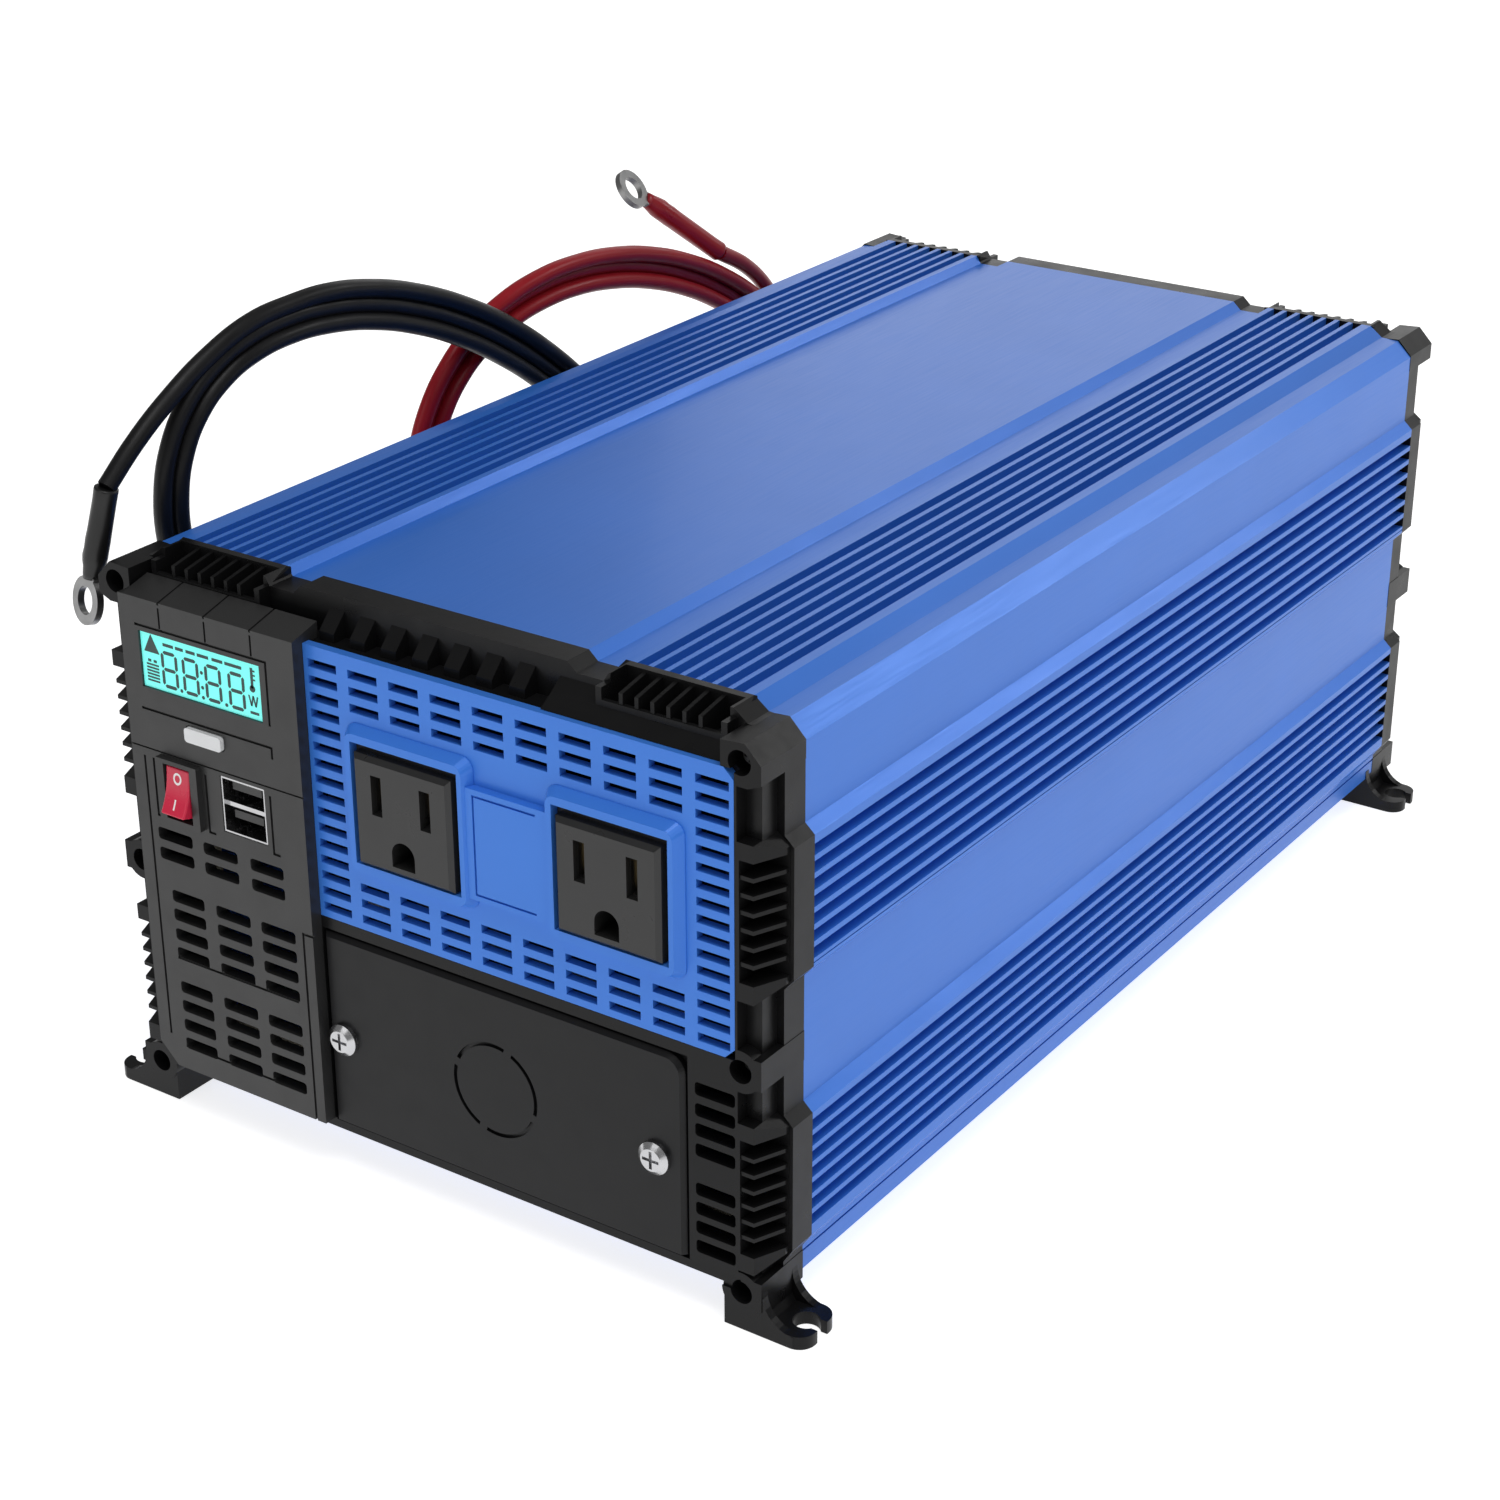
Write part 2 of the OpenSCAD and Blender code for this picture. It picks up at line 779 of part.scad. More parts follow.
module display_glass() {
    color([0.42, 0.92, 0.88]) place() block(
        [lcd_x[0] + 0.1, -panel_d + 0.5, lcd_z[0] + 0.1],
        [lcd_x[1] - 0.1, -front_boss_d, lcd_z[1] - 0.1]
    );
}

module display_board() {
    color([0.05, 0.30, 0.16]) place() {
        block([-72.5, -14.98, 104], [-36.5, -10.5, 120]);
        block([-73.4, -10.5, 92], [-31, -8.9, 121.4]);
        block([button_c[0] - 3, -11.5, button_c[1] - 3], [button_c[0] + 3, -10.5, button_c[1] + 3]);
    }
}

module menu_button() {
    color([0.94, 0.94, 0.92]) place() {
        soft_block(
            [button_c[0] - 5.2, -18.9, button_c[1] - 1.65],
            [button_c[0] + 5.2, -14.7, button_c[1] + 1.65],
            0.8
        );
        block([button_c[0] - 6.5, -14.7, button_c[1] - 2.9], [button_c[0] + 6.5, -13.7, button_c[1] + 2.9]);
        rod_y(button_c[0], button_c[1], -13.7, -13, 1.5, 24);
    }
}

rocker_pivot_y = -17.2;
rocker_tilt = 15;

module switch_frame() {
    color(black) place() difference() {
        union() {
            block(
                [rocker_c[0] - 5.85, -19.5, rocker_c[1] - 7.45],
                [rocker_c[0] + 5.85, -panel_d, rocker_c[1] + 7.45]
            );
            block(
                [rocker_c[0] - 5.15, -panel_d, rocker_c[1] - 7.1],
                [rocker_c[0] + 5.15, -4, rocker_c[1] + 7.1]
            );
        }
        block([rocker_c[0] - 3.8, -20, rocker_c[1] - 6.45], [rocker_c[0] + 3.8, -8, rocker_c[1] + 6.45]);
    }
    color(silver) place() for (dz = [-5, 0, 5]) {
        block([rocker_c[0] - 3, -4, rocker_c[1] + dz - 0.4], [rocker_c[0] + 3, 3, rocker_c[1] + dz + 0.4]);
    }
}

module switch_rocker() {
    color([0.80, 0.12, 0.22]) place()
        translate([0, rocker_pivot_y, rocker_c[1]]) rotate([-rocker_tilt, 0, 0])
        along_x(rocker_c[0] - 3.45, rocker_c[0] + 3.45) polygon([
            [-3.5, -5.4],
            [-3.1, 0],
            [-3.5, 5.4],
            [0.4, 5.4],
            [3.6, 1.4],
            [3.6, -1.4],
            [0.4, -5.4]
        ]);
}

module usb_shell() {
    color(silver) place() difference() {
        block([usb_x[0] + 0.05, -17.8, usb_z[0] + 0.05], [usb_x[1] - 0.05, -2, usb_z[1] - 0.05]);
        for (z = [usb_z[0] + 0.5, usb_z[0] + 7.1])
            block([usb_x[0] + 0.5, -19, z], [usb_x[1] - 0.5, -4, z + 5.6]);
        block([usb_x[0] + 0.5, -19, usb_z[0] + 5], [usb_x[1] - 0.5, -16.9, usb_z[0] + 9]);
    }
}

module usb_tongues() {
    color([0.93, 0.93, 0.93]) place() for (z = [usb_z[0] + 0.5, usb_z[0] + 7.1]) {
        block([usb_x[0] + 0.52, -6, z + 0.02], [usb_x[1] - 0.52, -4.02, z + 5.58]);
        block([usb_x[0] + 2.2, -16.5, z + 2.9], [usb_x[1] - 2.2, -6, z + 4.7]);
    }
}

// Outline of the wiring cover, drawn in from its edge by inset.
module cover_plate(inset, y0, y1) {
    along_y(y0, y1) polygon(concat(
        [[cover_x[0] + inset, cover_z[0]], [cover_x[1] - inset, cover_z[0]]],
        arc(cover_x[1] - 4.4, cover_z[1] - 4.4, 4.4 - inset, 0, 90, 10),
        [[cover_x[0] + inset, cover_z[1] - inset]]
    ));
}

module terminal_cover() {
    face = -15.4;
    back = -13.25;
    color(black) place() difference() {
        hull() {
            cover_plate(0, face + 1, back);
            cover_plate(0.9, face, face + 0.3);
        }
        difference() {
            rod_y(knock_c[0], knock_c[1], face - 1, face + 0.8, 11.05, 96);
            rod_y(knock_c[0], knock_c[1], face - 2, face + 2, 10.15, 96);
            for (a = [20:90:340])
                translate([knock_c[0], face, knock_c[1]]) rotate([0, a, 0])
                    translate([0, -2, -1]) cube([14, 4, 2]);
        }
        for (x = cover_screw_x) rod_y(x, cover_screw_z, face - 1, back + 1, 1.9);
    }
}

// Pan-head screw with a cross slot, driven along +Y; y_head is under the head.
module pan_screw(x, z, y_head, length, head_r, head_h, shank_r) {
    difference() {
        union() {
            rod_y(x, z, y_head - head_h * 0.5, y_head, head_r, 40);
            translate([x, y_head - head_h * 0.5, z]) rotate([90, 0, 0])
                cylinder(h = head_h * 0.5, r1 = head_r, r2 = head_r * 0.68, $fn = 40);
            rod_y(x, z, y_head, y_head + length, shank_r, 24);
        }
        arm = head_r * 0.55;
        block([x - arm, y_head - head_h - 1, z - 0.35], [x + arm, y_head - head_h * 0.4, z + 0.35]);
        block([x - 0.35, y_head - head_h - 1, z - arm], [x + 0.35, y_head - head_h * 0.4, z + arm]);
    }
}

module cover_screws() {
    color(silver) place() for (x = cover_screw_x)
        pan_screw(x, cover_screw_z, -15.42, 2.1, 3.7, 1.9, 1.75);
}

module front_screws() {
    color(black) place() for (side = [-1, 1]) {
        for (z = boss_z) pan_screw(side * boss_x, z, -front_boss_d + 5.5, 24, 2.4, 1.8, screw_r);
    }
}

module rear_screws() {
    color(black) place() translate([0, case_len, 0]) mirror([0, 1, 0]) for (side = [-1, 1]) {
        for (z = boss_z) pan_screw(side * boss_x, z, -rear_boss_d + 5.5, 24, 2.4, 1.8, screw_r);
    }
}

// Mains terminal block behind the wiring cover.
module ac_block() {
    color([0.88, 0.86, 0.80]) place() difference() {
        block([-4, -11.5, 26], [42, -1, 45]);
        for (i = [0:2]) {
            rod_y(4 + i * 15, 38.5, -12, -4, 3.2);
            block([1 + i * 15, -10, 25], [7 + i * 15, -3, 32]);
        }
        for (i = [0:1]) block([10.8 + i * 15, -12, 25], [12.2 + i * 15, -6, 46]);
    }
    color(black) place() difference() {
        block([-75.3, -1, 14.2], [75.3, 1.4, 60]);
        block([-72, -2, 17], [-29, 2, 61]);
        block([58, -2, 17], [73, 2, 61]);
    }
}

module ac_block_screws() {
    color(silver) place() for (i = [0:2]) pan_screw(4 + i * 15, 38.5, -5.5, 1.48, 3, 1.8, 1.5);
}

module fan_frame(x) {
    color(black) place() difference() {
        block([x - fan_half, fan_y[0], fan_z - fan_half], [x + fan_half, fan_y[1], fan_z + fan_half]);
        difference() {
            rod_y(x, fan_z, fan_y[0] - 1, fan_y[1] + 1, 28.2, 96);
            rod_y(x, fan_z, fan_y[0], fan_y[0] + 2.5, 12.5);
            for (a = [45:90:315])
                translate([x, fan_y[0], fan_z]) rotate([0, a, 0])
                    translate([0, 0, -1.6]) cube([30, 2.5, 3.2]);
        }
        rod_y(x, fan_z, fan_y[0] - 1, fan_y[1], 1.56);
        for (dx = [-25, 25]) {
            for (dz = [-25, 25]) rod_y(x + dx, fan_z + dz, fan_y[0] - 1, fan_y[1] + 1, 2.05);
        }
    }
}

module fan_left_frame() { fan_frame(-fan_x); }

module fan_right_frame() { fan_frame(fan_x); }

// Fan wheel with seven pitched blades on a cup hub and a steel shaft.
module fan_rotor(x) {
    color([0.13, 0.13, 0.14]) place() {
        difference() {
            rod_y(x, fan_z, fan_y[0] + 3, fan_y[1] - 1.2, 12.4, 64);
            rod_y(x, fan_z, fan_y[0] + 2, fan_y[1] - 3, 11);
        }
        for (i = [0:6]) {
            translate([x, (fan_y[0] + fan_y[1]) / 2 + 0.9, fan_z]) rotate([0, i * 360 / 7, 0])
                translate([11.8, 0, 0]) rotate([38, 0, 0]) translate([0, -0.6, -8]) cube([15.4, 1.2, 16]);
        }
        rod_y(x, fan_z, fan_y[0] + 0.2, fan_y[1] - 2.5, 1.5, 32);
    }
}

module fan_left_rotor() { fan_rotor(-fan_x); }

module fan_right_rotor() { fan_rotor(fan_x); }

// Wire finger guard over one fan.
module fan_guard(x) {
    y0 = rear_face_y + 0.02;
    color(silver) place() {
        for (r = [8:6:26]) {
            translate([x, y0 + 1.6, fan_z]) rotate([90, 0, 0]) rotate_extrude($fn = 64)
                translate([r, 0]) square([1.4, 1.6]);
        }
        for (a = [45:90:315]) {
            translate([x, y0, fan_z]) rotate([0, a, 0]) translate([7, 0, -0.8]) cube([25.5, 1.6, 1.6]);
        }
        for (dx = [-25, 25]) {
            for (dz = [-25, 25]) difference() {
                rod_y(x + dx, fan_z + dz, y0, y0 + 1.6, 4.4, 32);
                rod_y(x + dx, fan_z + dz, y0 - 1, y0 + 3, 2.05, 32);
            }
        }
    }
}

module fan_left_guard() { fan_guard(-fan_x); }

module fan_right_guard() { fan_guard(fan_x); }

module fan_screws() {
    color(silver) place() for (side = [-1, 1]) {
        for (dx = [-25, 25]) {
            for (dz = [-25, 25]) {
                translate([0, 2 * rear_face_y + 3.3, 0]) mirror([0, 1, 0])
                    pan_screw(side * fan_x + dx, fan_z + dz, rear_face_y + 1.65, 22, 3.4, 1.8, 1.95);
            }
        }
    }
}

module post(x) {
    color(brass) place() {
        rod_y(x, post_z, 262, post_end_y, 3);
        rod_y(x, post_z, rear_face_y + 7.2, lug_y, 7);
    }
}

module post_black() { post(-post_x); }

module post_red() { post(post_x); }

module collar(x, shade) {
    color(shade) place() difference() {
        union() {
            rod_y(x, post_z, rear_face_y + 1.62, rear_face_y + 7.18, 10.5, 64);
            rod_y(x, post_z, rear_plate_y - 4, rear_face_y + 1.62, 4.95);
        }
        rod_y(x, post_z, 270, 320, 3.02);
    }
}

module collar_black() { collar(-post_x, black); }

module collar_red() { collar(post_x, [0.75, 0.08, 0.10]); }

module post_nuts() {
    color(silver) place() for (side = [-1, 1]) {
        difference() {
            union() {
                rod_y(side * post_x, post_z, lug_y + 1.62, lug_y + 2.6, 6.3);
                rod_y(side * post_x, post_z, lug_y + 2.6, lug_y + 7.4, 5.8, 6);
            }
            rod_y(side * post_x, post_z, 270, 330, 3.02);
        }
    }
}

module ground_screw() {
    color(silver) place() {
        rod_y(64, 18, 284, rear_face_y + 2, 1.55);
        rod_y(64, 18, rear_face_y + 0.02, rear_face_y + 1.2, 5);
        rod_y(64, 18, rear_face_y + 1.2, rear_face_y + 4.6, 3.6, 6);
    }
}

board_z = [16, 17.6];
board_y = [8, 254];
board_x = 72;
board_hole_y = [16, 131, 246];

module main_board() {
    color([0.05, 0.30, 0.16]) place() difference() {
        block([-board_x, board_y[0], board_z[0]], [board_x, board_y[1], board_z[1]]);
        for (side = [-1, 1]) {
            for (y = board_hole_y) translate([side * 66, y, 0]) cylinder(h = 40, r = 1.65, $fn = 32);
        }
    }
    color(brass) place() for (side = [-1, 1]) {
        difference() {
            block([side * post_x - 8, 246, board_z[1]], [side * post_x + 8, 262, post_z + 6]);
            block([side * post_x - 9, 240, board_z[1] + 1.5], [side * post_x + 9, 259.5, post_z + 7]);
        }
    }
}

module board_posts() {
    color(silver) place() for (side = [-1, 1]) {
        for (y = board_hole_y) {
            translate([side * 66, y, cavity_z[0]]) cylinder(h = board_z[0] - cavity_z[0], r = 3, $fn = 32);
            translate([side * 66, y, board_z[0]]) cylinder(h = 2.6, r = 1.6, $fn = 32);
            translate([side * 66, y, board_z[1]]) cylinder(h = 1.8, r = 2.8, $fn = 32);
        }
    }
}

module transformers() {
    for (x = [-30, 30]) {
        for (y = [60, 112]) {
            color([0.20, 0.20, 0.22]) place() translate([x, y, board_z[1]]) difference() {
                translate([-21, -18, 0]) cube([42, 36, 38]);
                for (side = [-1, 1])
                    translate([side * 12 - 4, -19, 7]) cube([8, 38, 24]);
            }
            color([0.85, 0.70, 0.20]) place() translate([x, y, board_z[1] + 7.5])
                difference() {
                    translate([-15.8, -22, 0]) cube([31.6, 44, 23]);
                    translate([-8.1, -18.1, -1]) cube([16.2, 36.2, 30]);
                }
        }
    }
}

module capacitors() {
    color([0.12, 0.16, 0.35]) place() for (x = [-46, -15.4, 15.4, 46])
        translate([x, 208, board_z[1]]) cylinder(h = 46, r = 14.5, $fn = 64);
}

module heat_bars() {
    color(silver) place() for (side = [-1, 1]) {
        for (y = [24, 139]) {
            translate([side * 68 - 1.5, y, board_z[1]]) cube([3, 100, 46]);
            translate([side * 68 - 4, y, board_z[1] + 40]) cube([8, 100, 6]);
        }
    }
}

module transistors() {
    color([0.08, 0.08, 0.09]) place() for (side = [-1, 1]) {
        for (y = [28:22:94], start = [0, 115]) {
            x = side > 0 ? 61.8 : -66.5;
            translate([x, y + start, board_z[1] + 6]) cube([4.7, 15.6, 20]);
            for (leg = [2.5, 7.3, 12.1])
                translate([x + 1.9, y + start + leg, board_z[1]]) cube([0.9, 1, 6]);
        }
    }
}

module choke() {
    color([0.72, 0.40, 0.18]) place() translate([0, 162, board_z[1] + 9])
        rotate_extrude($fn = 64) translate([17, 0]) circle(r = 9, $fn = 40);
}

function unit(v) = v / norm(v);

// Direction of a route at each of its points.
function headings(p) = [
    for (i = [0:len(p) - 1]) unit(p[min(i + 1, len(p) - 1)] - p[max(i - 1, 0)])
];

// Side vectors carried along a route without twist.
function sides_along(t, s, i) = i == len(t) ? [] :
    let (n = unit(s - (s * t[i]) * t[i])) concat([n], sides_along(t, n, i + 1));

// Round tube swept along a route.
module tube(route, r, count = 8) {
    t = headings(route);
    s = sides_along(t, [0.31, 0.52, 0.8], 0);
    last = len(route) - 1;
    points = [
        for (i = [0:last]) for (k = [0:count - 1])
            route[i] + r * (cos(360 * k / count) * s[i] + sin(360 * k / count) * cross(t[i], s[i]))
    ];
    walls = [
        for (i = [0:last - 1]) for (k = [0:count - 1]) let (a = i * count, b = (k + 1) % count)
            [a + k, a + count + k, a + count + b, a + b]
    ];
    ends = [
        [for (k = [0:count - 1]) k],
        [for (k = [count - 1:-1:0]) last * count + k]
    ];
    polyhedron(points, concat(walls, ends));
}

function oval(shape, inset, n = 72) = [
    for (i = [0:n - 1])
        let (
            u = (shape[0] - inset) * cos(360 * i / n),
            v = (shape[1] - inset) * sin(360 * i / n)
        )
        [
            shape[3][0] + u * cos(shape[2]) - v * sin(shape[2]),
            shape[3][1] + u * sin(shape[2]) + v * cos(shape[2])
        ]
];

// Outer shape of one coil, leaning on the case.
module coil(shape) {
    translate([shape[4], 0, 0]) rotate([0, coil_lean, 0]) rotate([90, 0, 90])
        translate([0, 0, -coil_t / 2]) linear_extrude(coil_t) difference() {
            polygon(oval(shape, 0));
            polygon(oval(shape, shape[5]));
        }
}

// Turns a shape so that its Z runs along direction and its Y lies near normal.
module aimed(at, direction, normal) {
    z = unit(direction);
    x = unit(cross(normal, z));
    y = cross(z, x);
    multmatrix([
        [x[0], y[0], z[0], at[0]],
        [x[1], y[1], z[1], at[1]],
        [x[2], y[2], z[2], at[2]],
        [0, 0, 0, 1]
    ]) children();
}

lug_r = 5.4;
sleeve_start = 5.2;
post_sleeve_start = 7.6;

// Ring terminal: the ring's centre is the origin and the lead comes from +Z.
module ring_lug(reach = sleeve_start) {
    difference() {
        union() {
            rod_y(0, 0, -0.8, 0.8, lug_r, 48);
            block([-2.1, -0.8, 2], [2.1, 0.8, reach + 0.6]);
        }
        rod_y(0, 0, -2, 2, 3.15, 48);
    }
}

// Heat-shrink sleeve from the ring to the lead.
module sleeve(len, start = sleeve_start) {
    translate([0, 0, start]) cylinder(h = 4, r1 = 2.1, r2 = 2.8, $fn = 32);
    translate([0, 0, start + 4]) cylinder(h = len - 4, r = 2.8, $fn = 32);
}

black_end_way = black_free_route[5] - black_ring;
red_end_way = red_free_route[4] - red_ring;
post_lug_y = lug_y + 0.81 - mid_y;

module black_lead() {
    color(black) tube(black_free_route, lead_d / 2);
    color(black) tube(black_post_route, lead_d / 2);
}

module red_lead() {
    color([0.75, 0.08, 0.10]) tube(red_free_route, lead_d / 2);
    color([0.75, 0.08, 0.10]) tube(red_post_route, lead_d / 2);
}

module black_coil() {
    color(black) coil(black_oval);
}

module red_coil() {
    color([0.75, 0.08, 0.10]) coil(red_oval);
}

module black_end_lug() {
    color(silver) aimed(black_ring, black_end_way, black_ring_normal) ring_lug();
}

module red_end_lug() {
    color(silver) aimed(red_ring, red_end_way, red_ring_normal) ring_lug();
}

module black_end_sleeve() {
    color(black) aimed(black_ring, black_end_way, black_ring_normal)
        sleeve(norm(black_end_way) - sleeve_start);
}

module red_end_sleeve() {
    color([0.75, 0.08, 0.10]) aimed(red_ring, red_end_way, red_ring_normal)
        sleeve(norm(red_end_way) - sleeve_start);
}

module black_post_lug() {
    color(silver) aimed([-post_x, post_lug_y, post_z], [-1, 0, 0], [0, 1, 0])
        ring_lug(post_sleeve_start);
}

module red_post_lug() {
    color(silver) aimed([post_x, post_lug_y, post_z], [-1, 0, 0], [0, 1, 0])
        ring_lug(post_sleeve_start);
}

module black_post_sleeve() {
    color(black) aimed([-post_x, post_lug_y, post_z], [-1, 0, 0], [0, 1, 0])
        sleeve(-black_post_route[0][0] - post_x - post_sleeve_start, post_sleeve_start);
}

module red_post_sleeve() {
    color([0.75, 0.08, 0.10]) aimed([post_x, post_lug_y, post_z], [-1, 0, 0], [0, 1, 0])
        sleeve(post_x - red_post_route[0][0] - post_sleeve_start, post_sleeve_start);
}

case_upper();
case_lower();
front_bezel();
rear_bezel();
control_panel();
outlet_panel();
outlet_left();
outlet_right();
contacts_left();
contacts_right();
display_glass();
display_board();
menu_button();
switch_frame();
switch_rocker();
usb_shell();
usb_tongues();
terminal_cover();
cover_screws();
front_screws();
rear_screws();
ac_block();
ac_block_screws();
fan_left_frame();
fan_right_frame();
fan_left_rotor();
fan_right_rotor();
fan_left_guard();
fan_right_guard();
fan_screws();
post_black();
post_red();
collar_black();
collar_red();
post_nuts();
ground_screw();
main_board();
board_posts();
transformers();
capacitors();
heat_bars();
transistors();
choke();
black_lead();
black_coil();
black_end_lug();
black_end_sleeve();
black_post_lug();
black_post_sleeve();
red_lead();
red_coil();
red_end_lug();
red_end_sleeve();
red_post_lug();
red_post_sleeve();
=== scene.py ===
import json
import math

import bmesh
import bpy
from mathutils import Matrix, Vector


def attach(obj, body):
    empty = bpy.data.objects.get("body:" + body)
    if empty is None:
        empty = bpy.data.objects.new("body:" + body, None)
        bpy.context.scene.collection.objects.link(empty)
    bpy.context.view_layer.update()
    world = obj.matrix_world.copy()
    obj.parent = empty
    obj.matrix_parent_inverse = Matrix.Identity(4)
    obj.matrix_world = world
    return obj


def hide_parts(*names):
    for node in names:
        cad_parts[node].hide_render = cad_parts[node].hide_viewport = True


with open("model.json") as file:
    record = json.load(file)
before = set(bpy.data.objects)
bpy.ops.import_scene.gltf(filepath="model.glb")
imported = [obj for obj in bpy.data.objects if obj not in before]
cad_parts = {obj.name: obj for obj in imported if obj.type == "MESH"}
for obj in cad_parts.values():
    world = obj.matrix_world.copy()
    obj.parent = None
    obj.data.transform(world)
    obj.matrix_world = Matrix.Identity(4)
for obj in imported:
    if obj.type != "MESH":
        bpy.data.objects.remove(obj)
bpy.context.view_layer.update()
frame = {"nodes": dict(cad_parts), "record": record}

MM = 0.001
MID_Y = 147.0          # the case's own Y axis starts at the joint between front cap and case


def case_point(x, y, z):
    """A point given in millimetres from the case's own axes, in the shared frame."""
    return Vector((x * MM, (y - MID_Y) * MM, z * MM))


# ---------------------------------------------------------------- camera

CAMERA_AT = (0.364553, -0.573527, 0.363490)
CAMERA_AROUND = math.radians(34.4244)      # turned from straight in front towards the right
CAMERA_ABOVE = math.radians(25.0988)       # looking down by this much
CAMERA_ROLL = math.radians(-0.12512)
CAMERA_LENS = 72.19                        # millimetres on a 36 mm wide sensor


def make_camera():
    around, above, roll = CAMERA_AROUND, CAMERA_ABOVE, CAMERA_ROLL
    level = math.cos(above)
    back = Vector((math.sin(around) * level, -math.cos(around) * level, math.sin(above)))
    right = Vector((math.cos(around), math.sin(around), 0))
    up = back.cross(right)
    turned_right = math.cos(roll) * right + math.sin(roll) * up
    turned_up = -math.sin(roll) * right + math.cos(roll) * up
    data = bpy.data.cameras.new("camera")
    data.sensor_width = 36
    data.lens = CAMERA_LENS
    data.clip_start = 0.05
    camera = bpy.data.objects.new("camera", data)
    bpy.context.scene.collection.objects.link(camera)
    place = Matrix((turned_right, turned_up, back)).transposed().to_4x4()
    place.translation = CAMERA_AT
    camera.matrix_world = place
    bpy.context.scene.camera = camera


make_camera()

# ---------------------------------------------------------------- materials


class Paint:
    """A node material built up step by step on one Principled shader."""

    def __init__(self, name, color, rough, metal=0.0):
        self.material = bpy.data.materials.new(name)
        self.material.use_nodes = True
        self.tree = self.material.node_tree
        self.shader = self.tree.nodes["Principled BSDF"]
        self.color = (*color, 1)
        self.shader.inputs["Base Color"].default_value = self.color
        self.shader.inputs["Roughness"].default_value = rough
        self.shader.inputs["Metallic"].default_value = metal
        self.rough = rough
        self.place = self.tree.nodes.new("ShaderNodeTexCoord").outputs["Object"]
        self.height = None

    def noise(self, scale, detail=3.0, stretch=None):
        node = self.tree.nodes.new("ShaderNodeTexNoise")
        node.inputs["Scale"].default_value = scale
        node.inputs["Detail"].default_value = detail
        source = self.place
        if stretch:
            mapping = self.tree.nodes.new("ShaderNodeMapping")
            mapping.inputs["Scale"].default_value = stretch
            self.tree.links.new(source, mapping.inputs["Vector"])
            source = mapping.outputs["Vector"]
        self.tree.links.new(source, node.inputs["Vector"])
        return node.outputs["Fac"]

    def wander(self, low, high, scale, detail, stretch):
        """A value that drifts between low and high over the surface."""
        ramp = self.tree.nodes.new("ShaderNodeMapRange")
        ramp.inputs["From Min"].default_value = 0.3
        ramp.inputs["From Max"].default_value = 0.7
        ramp.inputs["To Min"].default_value = low
        ramp.inputs["To Max"].default_value = high
        self.tree.links.new(self.noise(scale, detail, stretch), ramp.inputs["Value"])
        return ramp.outputs["Result"]

    def mottle(self, scale, spread, stretch=None):
        """Makes the colour a little lighter and darker over the surface."""
        factor = self.wander(1 - spread, 1 + spread, scale, 4.0, stretch)
        mix = self.tree.nodes.new("ShaderNodeVectorMath")
        mix.operation = "SCALE"
        mix.inputs[0].default_value = self.color[:3]
        self.tree.links.new(factor, mix.inputs["Scale"])
        self.tree.links.new(mix.outputs["Vector"], self.shader.inputs["Base Color"])
        return self

    def smudge(self, scale, spread, stretch=None):
        """Makes the roughness wander."""
        low, high = max(self.rough - spread, 0.02), min(self.rough + spread, 1)
        rough = self.wander(low, high, scale, 3.0, stretch)
        self.tree.links.new(rough, self.shader.inputs["Roughness"])
        return self

    def grain(self, scale, strength, depth=0.00002, stretch=None, detail=3.0):
        """Adds a fine raised texture."""
        bump = self.tree.nodes.new("ShaderNodeBump")
        bump.inputs["Strength"].default_value = strength
        bump.inputs["Distance"].default_value = depth
        self.tree.links.new(self.noise(scale, detail, stretch), bump.inputs["Height"])
        if self.height:
            self.tree.links.new(self.height, bump.inputs["Normal"])
        self.height = bump.outputs["Normal"]
        self.tree.links.new(self.height, self.shader.inputs["Normal"])
        return self

    def set(self, **values):
        for key, value in values.items():
            self.shader.inputs[key.replace("_", " ")].default_value = value
        return self


def plastic(name, color, rough=0.5, grain=0.35, shine=0.4):
    """Moulded plastic with a spark-eroded grain."""
    paint = Paint(name, color, rough)
    paint.mottle(90, 0.05).smudge(160, 0.06).grain(2600, grain)
    return paint.set(Specular_IOR_Level=shine).material


def metal(name, color, rough=0.3, stretch=None):
    paint = Paint(name, color, rough, 1.0)
    paint.mottle(120, 0.06, stretch).smudge(400, 0.08, stretch).grain(1800, 0.15, stretch=stretch)
    return paint.material


def anodised(name, color, metallic=0.2):
    """Blue anodised extrusion: fine orange peel, faint drawing lines along Y."""
    paint = Paint(name, color, 0.33, metallic)
    paint.mottle(30, 0.025).smudge(60, 0.04, (40, 1, 40))
    paint.grain(1500, 0.05, 0.00002).grain(250, 0.04, 0.00002, (8, 0.4, 8))
    return paint.set(Specular_IOR_Level=0.25, Coat_Weight=0.07, Coat_Roughness=0.1).material


def rubber(name, color, rough=0.42):
    paint = Paint(name, color, rough)
    paint.mottle(60, 0.06).smudge(120, 0.08).grain(900, 0.12)
    return paint.set(Specular_IOR_Level=0.2).material


def screen(name, color):
    """Backlit liquid crystal glass."""
    paint = Paint(name, color, 0.22).mottle(25, 0.03).smudge(50, 0.03).grain(500, 0.03)
    return paint.set(Emission_Color=(*color, 1), Emission_Strength=0.35).material


BLUE = (0.033, 0.162, 0.60)
PANEL_BLUE = (0.042, 0.185, 0.65)
